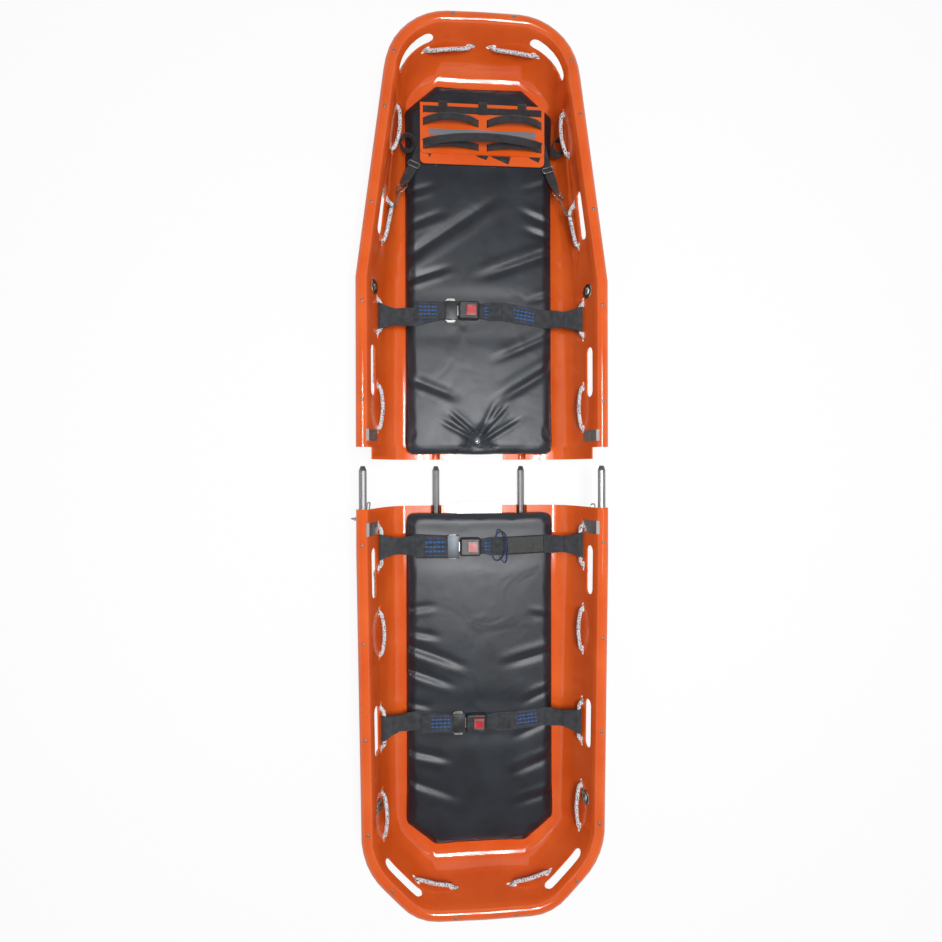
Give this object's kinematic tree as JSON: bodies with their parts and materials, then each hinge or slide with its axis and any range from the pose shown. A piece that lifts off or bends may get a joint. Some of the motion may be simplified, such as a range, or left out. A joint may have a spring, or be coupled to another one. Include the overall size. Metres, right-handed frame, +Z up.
{
  "type": "basket stretcher",
  "caption": "Two-piece plastic basket stretcher with cushions, buckled cross straps, lacing rope, draw latches and a folding footrest, its halves drawn apart.",
  "frame": {"origin": "floor point under the middle of the whole part, halves drawn apart", "axes": "+Y towards the foot end, +Z up, +X to the carried person's right-hand side as the foot end is seen from the head end"},
  "size_m": [0.6698, 2.327, 0.19],
  "materials": {
    "shell": "orange, satin gloss",
    "tube": "extruded",
    "steel": "bright",
    "black_plastic": "fine matt",
    "pad_cover": "coated foam cushion",
    "webbing": "woven",
    "rope": "braided",
    "button": "smooth"
  },
  "bodies": {
    "head_half": {"centre_plate": "steel", "head_backing_left": "steel", "head_backing_right": "steel", "head_eyelet_left": "steel", "head_eyelet_right": "steel", "head_pad": "pad_cover", "head_rim_tube": "tube", "head_rope": "rope", "head_shell": "shell", "latch_base_left": "steel", "latch_base_right": "steel", "rim_pin_left": "steel", "rim_pin_right": "steel", "runner_pin_left": "steel", "runner_pin_right": "steel", "strap_2_buckle": "black_plastic", "strap_2_tongue": "steel", "strap_2_webbing_left": "webbing", "strap_2_webbing_right": "webbing", "strap_3_buckle": "black_plastic", "strap_3_tongue": "steel", "strap_3_webbing_left": "webbing", "strap_3_webbing_right": "webbing"},
    "foot_half": {"foot_backing_left": "steel", "foot_backing_right": "steel", "foot_eyelet_left": "steel", "foot_eyelet_right": "steel", "foot_pad": "pad_cover", "foot_rim_tube": "tube", "foot_rope": "rope", "foot_shell": "shell", "footrest_lower": "shell", "footrest_ring_1": "webbing", "footrest_ring_2": "webbing", "footrest_ring_3": "webbing", "hook_left": "steel", "hook_right": "steel", "latch_catch_left": "steel", "latch_catch_right": "steel", "runner_tube_left": "tube", "runner_tube_right": "tube", "side_strap_left": "webbing", "side_strap_right": "webbing", "strap_1_buckle": "black_plastic", "strap_1_tongue": "steel", "strap_1_webbing_left": "webbing", "strap_1_webbing_right": "webbing"},
    "latch_lever_left": {"latch_lever_left": "steel"},
    "latch_lever_right": {"latch_lever_right": "steel"},
    "latch_bail_left": {"latch_bail_left": "steel"},
    "latch_bail_right": {"latch_bail_right": "steel"},
    "strap_1_button": {"strap_1_button": "button"},
    "strap_2_button": {"strap_2_button": "button"},
    "strap_3_button": {"strap_3_button": "button"},
    "footrest_upper": {"footrest_upper": "shell", "footrest_cross_band": "webbing", "footrest_instep_band": "webbing", "footrest_strip": "tube"},
    "gate_left": {"gate_left": "steel"},
    "gate_right": {"gate_right": "steel"}
  },
  "joints": [
    {"name": "foot_slide", "type": "slide", "parent": "head_half", "child": "foot_half", "axis": [0, -1, 0], "range_m": [0, 0.1565]},
    {"name": "lever_left", "type": "hinge", "parent": "head_half", "child": "latch_lever_left", "pos_m": [-0.29508, -0.1335, 0.13492], "axis": [0.3347, 0, -0.9423], "range_deg": [-90, 50]},
    {"name": "bail_left", "type": "hinge", "parent": "latch_lever_left", "child": "latch_bail_left", "pos_m": [-0.30262, -0.1335, 0.13225], "axis": [0.3347, 0, -0.9423], "range_deg": [-50, 90]},
    {"name": "lever_right", "type": "hinge", "parent": "head_half", "child": "latch_lever_right", "pos_m": [0.29508, -0.1335, 0.13492], "axis": [0.3347, 0, 0.9423], "range_deg": [0, 140]},
    {"name": "bail_right", "type": "hinge", "parent": "latch_lever_right", "child": "latch_bail_right", "pos_m": [0.29508, -0.1415, 0.13492], "axis": [0.3347, 0, 0.9423], "range_deg": [-140, 0]},
    {"name": "button_1", "type": "slide", "parent": "foot_half", "child": "strap_1_button", "axis": [0, 0, -1], "range_m": [0, 0.004], "stiffness_N_per_m": 350, "springref_m": -0.002},
    {"name": "button_2", "type": "slide", "parent": "head_half", "child": "strap_2_button", "axis": [0, 0, -1], "range_m": [0, 0.004], "stiffness_N_per_m": 350, "springref_m": -0.002},
    {"name": "button_3", "type": "slide", "parent": "head_half", "child": "strap_3_button", "axis": [0, 0, -1], "range_m": [0, 0.004], "stiffness_N_per_m": 350, "springref_m": -0.002},
    {"name": "footrest_hinge", "type": "hinge", "parent": "foot_half", "child": "footrest_upper", "pos_m": [0.0085, 0.988, 0.0732], "axis": [-1, 0, 0], "range_deg": [0, 90]},
    {"name": "gate_left", "type": "hinge", "parent": "foot_half", "child": "gate_left", "pos_m": [-0.22478, 0.7049, 0.11118], "axis": [-0.7593, 0.5464, 0.3534], "range_deg": [0, 10], "stiffness_Nm_per_rad": 0.02, "springref_deg": -8.59},
    {"name": "gate_right", "type": "hinge", "parent": "foot_half", "child": "gate_right", "pos_m": [0.22667, 0.69673, 0.11107], "axis": [-0.754, -0.525, -0.3949], "range_deg": [0, 10], "stiffness_Nm_per_rad": 0.02, "springref_deg": -8.59}
  ],
  "couplings": [
    {"joint": "bail_left", "follows": "lever_left", "ratio": -1},
    {"joint": "bail_right", "follows": "lever_right", "ratio": -1}
  ]
}
